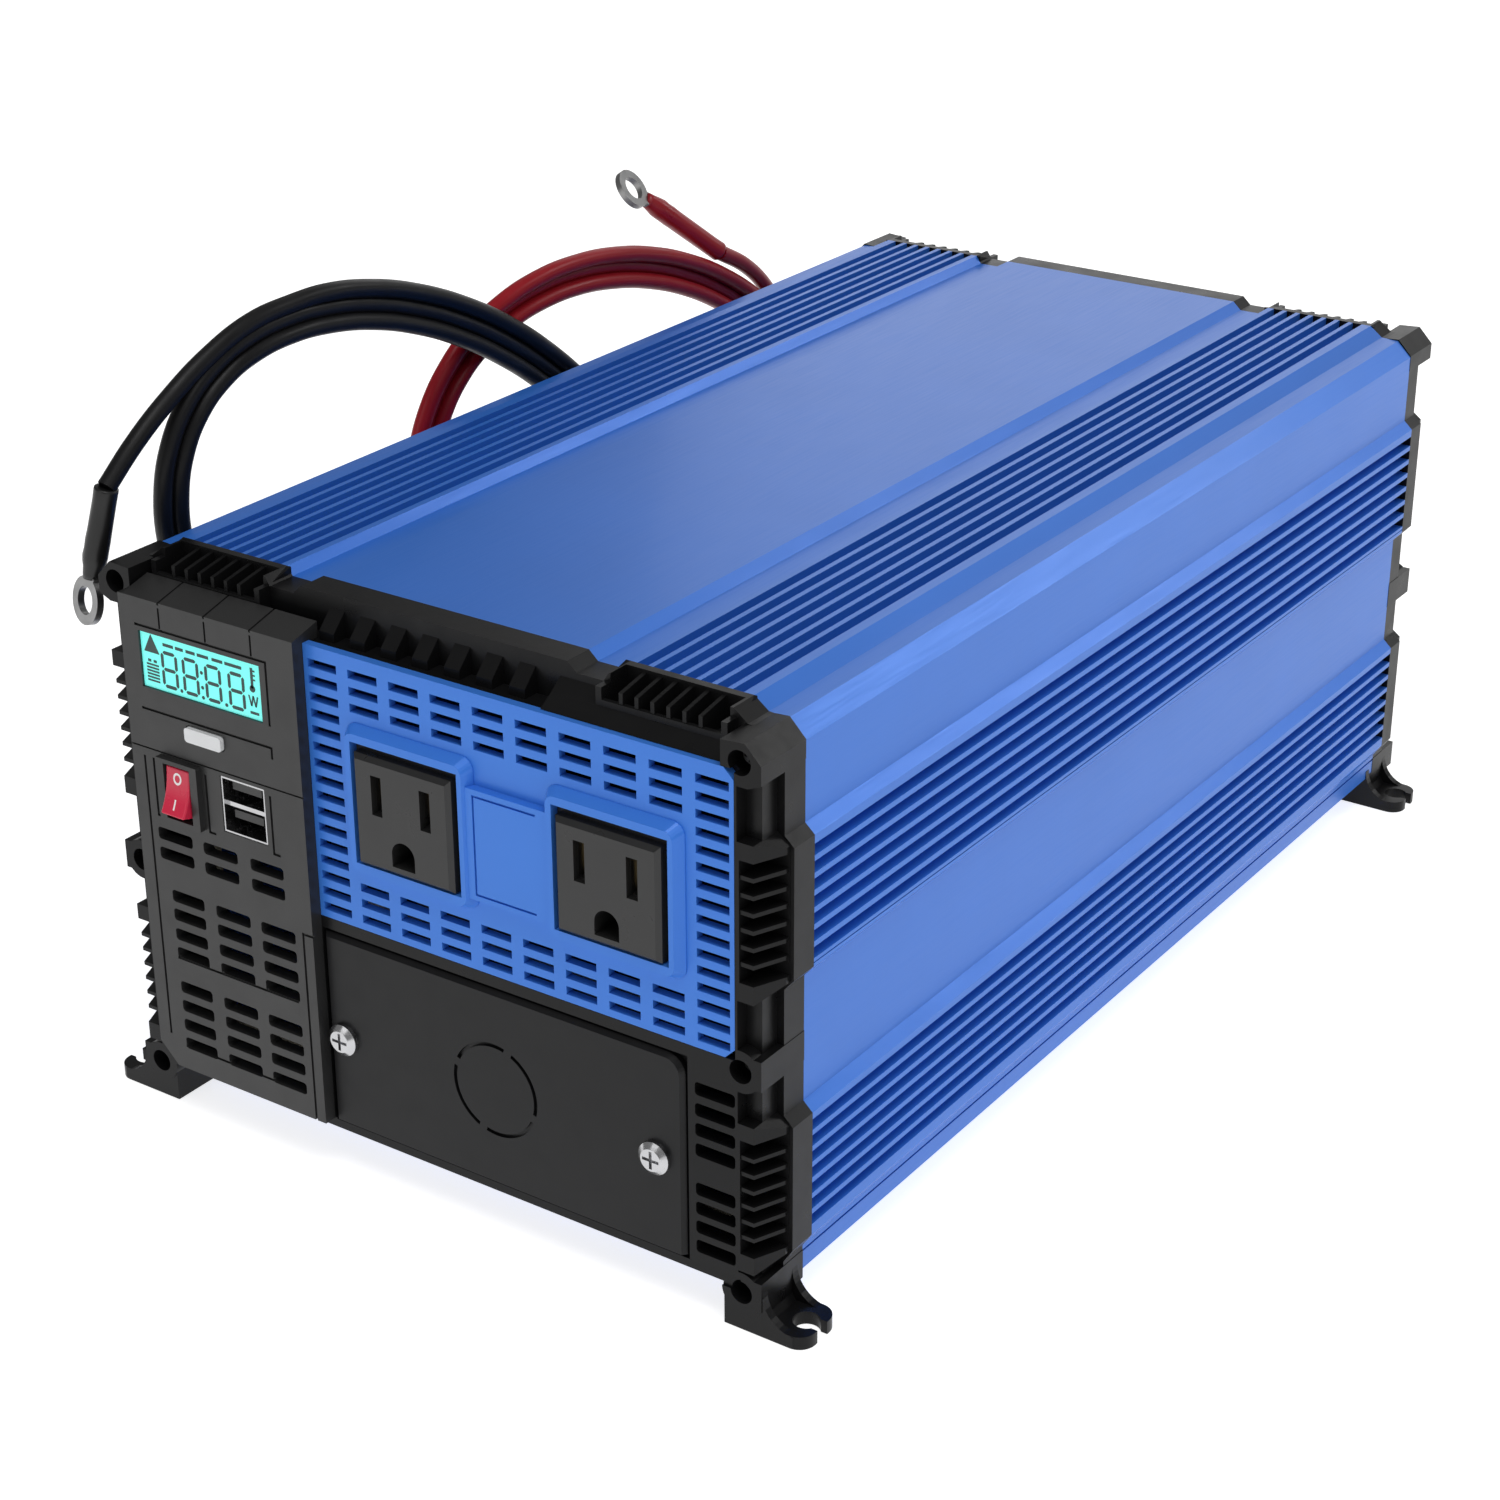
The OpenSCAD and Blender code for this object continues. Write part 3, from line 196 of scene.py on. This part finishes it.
# Looks by material slot.
LOOKS = {
    "case_blue": anodised("blue_case", BLUE),
    "panel_blue": anodised("blue_panel", PANEL_BLUE, 0.1),
    "cap_black": plastic("black_cap", (0.006, 0.006, 0.0063), 0.32, shine=0.16),
    "panel_black": plastic("black_panel", (0.021, 0.021, 0.021), 0.40),
    "outlet_black": plastic("outlet_body", (0.016, 0.016, 0.016), 0.32, 0.2),
    "contact_brass": metal("brass_contact", (0.78, 0.58, 0.26), 0.28),
    "display_cyan": screen("lit_screen", (0.16, 0.83, 0.76)),
    "circuit_green": plastic("circuit_green", (0.02, 0.13, 0.05), 0.35, 0.15),
    "button_white": plastic("white_button", (0.66, 0.67, 0.68), 0.35, 0.1),
    "rocker_red": plastic("red_rocker", (0.56, 0.018, 0.055), 0.28, 0.08),
    "steel": metal("steel", (0.50, 0.50, 0.51), 0.24),
    "screw_black": metal("black_screw", (0.07, 0.07, 0.07), 0.4),
    "fan_black": plastic("fan_black", (0.02, 0.02, 0.021), 0.38, 0.15),
    "collar_black": plastic("collar_black", (0.018, 0.018, 0.018), 0.35, 0.1),
    "collar_red": plastic("collar_red", (0.50, 0.015, 0.02), 0.35, 0.1),
    "terminal_cream": plastic("terminal_cream", (0.62, 0.58, 0.46), 0.4, 0.1),
    "core_grey": plastic("ferrite", (0.05, 0.05, 0.052), 0.55, 0.5),
    "capacitor_blue": plastic("capacitor_film", (0.02, 0.035, 0.16), 0.25, 0.05),
    "bar_aluminium": metal("bar_aluminium", (0.72, 0.73, 0.74), 0.35, (30, 1, 30)),
    "transistor_black": plastic("transistor_black", (0.02, 0.02, 0.02), 0.6, 0.5),
    "winding_copper": metal("winding_copper", (0.60, 0.26, 0.11), 0.3, (4, 60, 4)),
    "lead_black": rubber("black_lead", (0.006, 0.006, 0.0065)),
    "lead_red": rubber("red_lead", (0.27, 0.006, 0.012), 0.36),
    "terminal_tin": metal("tinned_terminal", (0.27, 0.27, 0.27), 0.36),
}
LCD_INK = plastic("screen_ink", (0.02, 0.05, 0.05), 0.4, 0.1)
MARK_WHITE = plastic("white_mark", (0.80, 0.76, 0.76), 0.4, 0.1)
SLEEVE_BLACK = plastic("black_shrink", (0.006, 0.006, 0.006), 0.36, 0.25)
SLEEVE_RED = plastic("red_shrink", (0.27, 0.008, 0.014), 0.33, 0.25)
# Looks of single nodes that differ from the rest of their slot.
OWN_LOOKS = {
    "terminal_cover": plastic("black_cover", (0.007, 0.007, 0.0075), 0.36, shine=0.2),
    "usb_tongues": plastic("usb_insert", (0.03, 0.03, 0.03), 0.4, 0.1),
}

# Width of the softened edges of each node, in metres.
BEVELS = {
    "case_upper": 0.0004, "case_lower": 0.0004, "front_bezel": 0.0003, "rear_bezel": 0.0003,
    "control_panel": 0.0003, "outlet_panel": 0.0003, "outlet_left": 0.0003, "outlet_right": 0.0003,
    "menu_button": 0.0004, "switch_frame": 0.00025, "terminal_cover": 0.0004, "cover_screws": 0.0004,
    "fan_left_frame": 0.0003, "fan_right_frame": 0.0003, "post_nuts": 0.0003, "ground_screw": 0.0003,
    "collar_black": 0.0005, "collar_red": 0.0005, "black_end_lug": 0.0002, "red_end_lug": 0.0002,
    "black_post_lug": 0.0002, "red_post_lug": 0.0002, "fan_screws": 0.0002, "front_screws": 0.0002,
    "rear_screws": 0.0002, "usb_shell": 0.0001, "usb_tongues": 0.0001, "ac_block": 0.0003,
}


def dress_frame():
    slots = {part["node"]: part["material_slot"] for part in frame["record"]["subparts"]}
    for name, obj in frame["nodes"].items():
        look = OWN_LOOKS.get(name, LOOKS[slots[name]])
        if obj.material_slots:
            for entry in obj.material_slots:
                entry.material = look
        else:
            obj.data.materials.append(look)
        if name in BEVELS:
            bevel = obj.modifiers.new("soft_edges", "BEVEL")
            bevel.width = BEVELS[name]
            bevel.segments = 2
            bevel.limit_method = "ANGLE"
            bevel.angle_limit = math.radians(38)


dress_frame()

# ---------------------------------------------------------------- making pieces


def make_mesh(name, build, look, body="housing", smooth=True):
    """Runs build on an empty bmesh and turns the result into a dressed piece."""
    data = bpy.data.meshes.new(name)
    shape = bmesh.new()
    build(shape)
    bmesh.ops.recalc_face_normals(shape, faces=shape.faces)
    shape.to_mesh(data)
    shape.free()
    for face in data.polygons:
        face.use_smooth = smooth
    obj = bpy.data.objects.new(name, data)
    bpy.context.scene.collection.objects.link(obj)
    data.materials.append(look)
    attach(obj, body)
    return obj


# ---------------------------------------------------------------- battery leads

LEAD_D = 0.0043
COIL_LEAN = math.radians(6.4)
BLACK_OVAL = {"half": (121.5, 60.6), "tilt": -36.2, "centre": (-36.4, 87.4), "foot_x": -102.8}
RED_OVAL = {"half": (112.1, 64.1), "tilt": -28.1, "centre": (55.0, 77.9), "foot_x": -110.0}

BLACK_FREE = [
    (-84, -98, 170.6), (-84.4, -111, 169.5), (-85, -124, 165.2), (-86, -136, 158.6),
    (-87, -146, 151.4), (-88, -154.4, 143.6),
]
BLACK_POST = [
    (-63, 158.2, 32), (-74, 158.2, 31.4), (-84, 157.4, 28), (-92, 154.6, 21.5), (-98, 148.5, 14.5),
    (-101.6, 139, 8.5), (-102.5, 127, 4.6), (-102.6, 114, 3), (-102.6, 100, 3.2), (-102.2, 87, 6.5),
    (-101, 76.5, 14), (-99.6, 69.4, 25), (-98.2, 65.6, 38), (-97.2, 63.8, 50),
]
RED_FREE = [
    (-98.7, 126, 100.4), (-97.6, 117, 111.8), (-96.6, 107.6, 122.4), (-95.2, 96, 131.2), (-94, 81.4, 138.8),
]
RED_POST = [
    (13, 158.2, 32), (1, 158.4, 31), (-12, 160, 26), (-24, 162.6, 18), (-36, 165.4, 9.5), (-49, 167.6, 4),
    (-62, 168.8, 2.6), (-76, 168.6, 3), (-88, 167, 8), (-96.5, 164.8, 17), (-101.3, 162, 29),
    (-103.2, 158.6, 42), (-103.6, 155.2, 53), (-103.1, 152.6, 62),
]


def on_oval(oval, angle, inset, side):
    """A point of a coil: inset from the outer edge, side millimetres off the coil's middle plane."""
    turn, tilt = math.radians(angle), math.radians(oval["tilt"])
    u = (oval["half"][0] - inset) * math.cos(turn)
    v = (oval["half"][1] - inset) * math.sin(turn)
    y = oval["centre"][0] + u * math.cos(tilt) - v * math.sin(tilt)
    h = oval["centre"][1] + u * math.sin(tilt) + v * math.cos(tilt)
    x = oval["foot_x"] + h * math.sin(COIL_LEAN) + side * math.cos(COIL_LEAN)
    return Vector((x, y, h * math.cos(COIL_LEAN) - side * math.sin(COIL_LEAN)))


def ease(t):
    t = min(max(t, 0), 1)
    return t * t * (3 - 2 * t)


def coil_points(oval, keys, step=10):
    """The turns of a coil: keys give (angle, inset, side), and the strand moves smoothly between them."""
    points = []
    for (a0, inset0, side0), (a1, inset1, side1) in zip(keys, keys[1:]):
        count = max(round((a1 - a0) / step), 1)
        for i in range(count):
            moved = ease(i / count)
            angle = a0 + (a1 - a0) * i / count
            inset = inset0 + (inset1 - inset0) * moved
            side = side0 + (side1 - side0) * moved
            points.append(on_oval(oval, angle, inset, side))
    points.append(on_oval(oval, *keys[-1]))
    return points


BLACK_TURNS = [
    (40, 2.3, 0), (80, 10.2, 0.6), (140, 10.2, 0.6), (210, 6.4, 0.6), (390, 6.3, -0.6), (500, 6.3, -0.6),
    (570, 2.4, -0.6), (740, 2.3, 0), (860, 2.3, 0),
]
RED_TURNS = [
    (40, 2.3, 0), (80, 9.4, 1), (230, 9.4, 1), (390, 5.8, -1), (590, 5.8, -1), (750, 2.3, 1),
    (950, 2.3, 1), (1133, 2.3, 0),
]


def make_lead(name, points, look, nodes):
    data = bpy.data.curves.new(name, "CURVE")
    data.dimensions = "3D"
    data.resolution_u = 6
    data.bevel_depth = LEAD_D / 2
    data.bevel_resolution = 5
    data.use_fill_caps = True
    line = data.splines.new("BEZIER")
    line.bezier_points.add(len(points) - 1)
    for knot, point in zip(line.bezier_points, points):
        knot.co = point * MM
        knot.handle_left_type = knot.handle_right_type = "AUTO"
    data.materials.append(look)
    obj = bpy.data.objects.new(name, data)
    bpy.context.scene.collection.objects.link(obj)
    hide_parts(*nodes)
    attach(obj, "housing")
    return obj


def way(points):
    return [Vector(p) for p in points]


def make_sleeve(name, ring, toward, look, node, length, start=5.2):
    """Heat-shrink sleeve: wide over the lead, drawn in over the crimp, faint wrinkles."""
    ring, toward = Vector(ring), Vector(toward)
    axis = (toward - ring).normalized()
    side = axis.cross(Vector((0.3, 0.5, 0.8))).normalized()
    other = axis.cross(side)
    profile = [
        (0, 1.6), (0.1, 2.0), (1.2, 2.15), (2.8, 2.4), (4.0, 2.66), (5.2, 2.78),
        (7, 2.7), (9, 2.76), (11, 2.68),
    ]
    profile = [(start + t, r) for t, r in profile]
    profile += [(length - 3, 2.62), (length - 0.5, 2.68), (length - 0.1, 2.6), (length, 2.25)]

    def build(shape):
        rings = []
        for t, r in profile:
            loop = []
            for k in range(32):
                a = 2 * math.pi * k / 32
                ripple = 1 + 0.012 * math.sin(3 * a + t * 1.7) + 0.008 * math.sin(5 * a - t * 0.9)
                flat = 1 - 0.16 * max(0, 1 - (t - start) / 5)
                across, along = r * ripple * math.cos(a) * flat, r * ripple * math.sin(a)
                loop.append(shape.verts.new((ring + axis * t + side * across + other * along) * MM))
            rings.append(loop)
        for low, high in zip(rings, rings[1:]):
            for k in range(32):
                shape.faces.new((low[k], low[(k + 1) % 32], high[(k + 1) % 32], high[k]))
        shape.faces.new(rings[0])
        shape.faces.new(list(reversed(rings[-1])))

    obj = make_mesh(name, build, look)
    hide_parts(node)
    return obj


POST_Y, POST_Z = 158.21, 32.0
POST_SLEEVE, POST_SLEEVE_START = 25.0, 7.6
sleeves = {
    "black_end": make_sleeve(
        "black_end_shrink", (-93, -158.2, 117.9), BLACK_FREE[-1], SLEEVE_BLACK,
        "black_end_sleeve", 26.4,
    ),
    "red_end": make_sleeve(
        "red_end_shrink", (-105.2, 57, 159.8), RED_FREE[-1], SLEEVE_RED,
        "red_end_sleeve", 34.0,
    ),
    "black_post": make_sleeve(
        "black_post_shrink", (-38, POST_Y, POST_Z), (-63, POST_Y, POST_Z), SLEEVE_BLACK,
        "black_post_sleeve", POST_SLEEVE, POST_SLEEVE_START,
    ),
    "red_post": make_sleeve(
        "red_post_shrink", (38, POST_Y, POST_Z), (13, POST_Y, POST_Z), SLEEVE_RED,
        "red_post_sleeve", POST_SLEEVE, POST_SLEEVE_START,
    ),
}
make_lead(
    "black_battery_lead",
    way(BLACK_POST) + coil_points(BLACK_OVAL, BLACK_TURNS) + way(BLACK_FREE),
    LOOKS["lead_black"], ("black_lead", "black_coil"),
)
make_lead(
    "red_battery_lead",
    way(RED_POST) + coil_points(RED_OVAL, RED_TURNS) + way(RED_FREE),
    LOOKS["lead_red"], ("red_lead", "red_coil"),
)

# ---------------------------------------------------------------- display marks

FACE_Y = -17.56


def flat_shape(shape, outline, thick=0.05, y=FACE_Y):
    """A thin raised mark with the given X-Z outline on the face of the display."""
    front = [shape.verts.new(case_point(x, y, z)) for x, z in outline]
    rear = [shape.verts.new(case_point(x, y + thick, z)) for x, z in outline]
    shape.faces.new(front)
    shape.faces.new(list(reversed(rear)))
    count = len(outline)
    for i in range(count):
        shape.faces.new((front[i], rear[i], rear[(i + 1) % count], front[(i + 1) % count]))


def segment(shape, x, z, length, width, upright):
    """One bar of a digit, with pointed ends."""
    half, w = length / 2, width / 2
    outline = [(-half, 0), (-half + w, w), (half - w, w), (half, 0), (half - w, -w), (-half + w, -w)]
    if upright:
        outline = [(b, a) for a, b in outline]
    flat_shape(shape, [(x + a, z + b) for a, b in outline])


def digit(shape, x, z, wide, high):
    bar = 0.78
    for level in (-1, 0, 1):
        segment(shape, x, z + level * high / 2, wide - 0.5, bar, False)
    for side in (-1, 1):
        for level in (-1, 1):
            segment(shape, x + side * wide / 2, z + level * high / 4, high / 2 - 0.4, bar, True)


def dot(shape, x, z, r=0.38, count=12):
    turns = [2 * math.pi * k / count for k in range(count)]
    flat_shape(shape, [(x + r * math.cos(a), z + r * math.sin(a)) for a in turns])


def bar_shape(shape, x0, z0, x1, z1):
    flat_shape(shape, [(x0, z0), (x1, z0), (x1, z1), (x0, z1)])


def build_display(shape):
    for x in (-63.4, -57.4, -51.0, -44.4):
        digit(shape, x, 110.8, 3.9, 7.7)
    for x, z in ((-60.4, 106.9), (-54.2, 109.2), (-54.2, 112.6), (-54.2, 106.9), (-47.6, 106.9)):
        dot(shape, x, z, 0.42)
    # Warning triangle.
    flat_shape(shape, [(-70.5, 113.8), (-66.1, 113.8), (-68.3, 118.0)])
    # Row of status flags.
    flags = [(-64.9, -61.9), (-61.3, -59.1), (-58.3, -55.7), (-55.1, -51.9), (-50.9, -47.9), (-47.3, -42.6)]
    for x0, x1 in flags:
        bar_shape(shape, x0, 116.1, x1, 116.8)
    # Battery gauge.
    for k in range(6):
        bar_shape(shape, -70.1, 107.1 + 0.74 * k, -66.6, 107.5 + 0.74 * k)
    for x in (-69.6, -68.0):
        bar_shape(shape, x, 111.6, x + 0.9, 112.2)
    # Thermometer.
    bar_shape(shape, -40.2, 112.6, -39.5, 117.2)
    dot(shape, -39.85, 112.5, 0.8)
    for z in (114.4, 115.4, 116.4):
        bar_shape(shape, -39.5, z, -38.9, z + 0.35)
    # Unit mark of four slanted strokes.
    for x0, x1 in ((-41.0, -40.4), (-39.8, -40.4), (-39.8, -39.2), (-38.6, -39.2)):
        flat_shape(shape, [(x0 - 0.2, 110.9), (x0 + 0.2, 110.9), (x1 + 0.2, 108.5), (x1 - 0.2, 108.5)])
    bar_shape(shape, -40.9, 106.7, -38.5, 107.3)


make_mesh("display_marks", build_display, LCD_INK, smooth=False)

# ---------------------------------------------------------------- rocker

ROCKER_X, ROCKER_Z = -62.35, 82.95
PIVOT_Y = -17.2
TILT = math.radians(-15)


def rocker_point(x, out, high):
    """A point of the rocker: out from its pivot towards the user and high along its face."""
    y = -out * math.cos(TILT) - high * math.sin(TILT)
    z = -out * math.sin(TILT) + high * math.cos(TILT)
    return case_point(ROCKER_X + x, PIVOT_Y + y, ROCKER_Z + z)


def rocker_face(high):
    """How far the dished face stands out at a height."""
    return 3.42 - 0.75 * (1 - (high / 5.35) ** 2)


def build_rocker(shape):
    outline = [(rocker_face(h), h) for h in [5.35 - 10.7 * k / 16 for k in range(17)]]
    outline += [(-0.4, -5.35), (-3.5, -1.4), (-3.5, 1.4), (-0.4, 5.35)]
    sides = []
    for x in (-3.4, 3.4):
        sides.append([shape.verts.new(rocker_point(x, out, high)) for out, high in outline])
    shape.faces.new(sides[0])
    shape.faces.new(list(reversed(sides[1])))
    count = len(outline)
    for i in range(count):
        shape.faces.new((sides[0][i], sides[1][i], sides[1][(i + 1) % count], sides[0][(i + 1) % count]))


def make_rocker():
    look = LOOKS["rocker_red"]
    rocker = make_mesh("rocker_cap", build_rocker, look, "rocker", smooth=False)
    soft = rocker.modifiers.new("soft_edges", "BEVEL")
    soft.width = 0.00045
    soft.segments = 4
    soft.limit_method = "ANGLE"
    soft.angle_limit = math.radians(40)
    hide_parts("switch_rocker")


def build_rocker_marks(shape):
    """The ring for off and the bar for on."""
    rings = []
    for r in (0.75, 1.2):
        ring = []
        for k in range(28):
            a = 2 * math.pi * k / 28
            x, high = r * math.cos(a), 2.9 + r * 1.15 * math.sin(a)
            ring.append(shape.verts.new(rocker_point(x, rocker_face(high) + 0.03, high)))
        rings.append(ring)
    for k in range(28):
        shape.faces.new((rings[0][k], rings[0][(k + 1) % 28], rings[1][(k + 1) % 28], rings[1][k]))
    rows = [-1.7 - 2.3 * k / 5 for k in range(6)]
    left = [shape.verts.new(rocker_point(-0.22, rocker_face(h) + 0.03, h)) for h in rows]
    right = [shape.verts.new(rocker_point(0.22, rocker_face(h) + 0.03, h)) for h in rows]
    for k in range(5):
        shape.faces.new((left[k], right[k], right[k + 1], left[k + 1]))


make_rocker()
make_mesh("rocker_marks", build_rocker_marks, MARK_WHITE, "rocker", smooth=False)

# ---------------------------------------------------------------- studio


FLOOR_HALF = 40
FLOOR_DROP = 0.0002    # keeps the floor just clear of the feet
# Name, place, point aimed at, side of the square and power of each lamp.
LAMPS = [
    ("right_box", (1.4, -0.6, 1.35), (0, 0, 0.06), 0.9, 3.6),
    ("front_box", (-0.5, -1.9, 0.8), (0, 0, 0.06), 1.0, 4.7),
    ("top_box", (0.5, -0.5, 2.0), (0, 0, 0.1), 1.0, 17.5),
    ("edge_box", (0.95, 1.65, 1.15), (0, 0, 0.1), 0.6, 6),
    ("sheen_box", (-0.65, 1.8, 0.80), (0, 0, 0.1), 1.2, 4.8),
]


def make_studio():
    data = bpy.data.meshes.new("floor")
    size = FLOOR_HALF
    corners = [(-size, -size, 0), (size, -size, 0), (size, size, 0), (-size, size, 0)]
    data.from_pydata(corners, [], [(0, 1, 2, 3)])
    floor = bpy.data.objects.new("floor", data)
    bpy.context.scene.collection.objects.link(floor)
    floor.location.z = -FLOOR_DROP
    pale = Paint("pale_floor", (0.65, 0.65, 0.65), 0.8).mottle(3, 0.004)
    pale.set(Emission_Color=(1, 1, 1, 1), Emission_Strength=0.78)
    data.materials.append(pale.material)
    world = bpy.data.worlds.new("studio")
    bpy.context.scene.world = world
    world.use_nodes = True
    world.node_tree.nodes["Background"].inputs["Color"].default_value = (1, 1, 1, 1)
    world.node_tree.nodes["Background"].inputs["Strength"].default_value = 0.24
    for name, at, aim, width, power in LAMPS:
        light = bpy.data.lights.new(name, "AREA")
        light.shape = "SQUARE"
        light.size = width
        light.energy = power
        obj = bpy.data.objects.new(name, light)
        bpy.context.scene.collection.objects.link(obj)
        obj.location = at
        obj.rotation_euler = (Vector(aim) - Vector(at)).to_track_quat("-Z", "Y").to_euler()
    bpy.context.scene.view_settings.view_transform = "Standard"


make_studio()
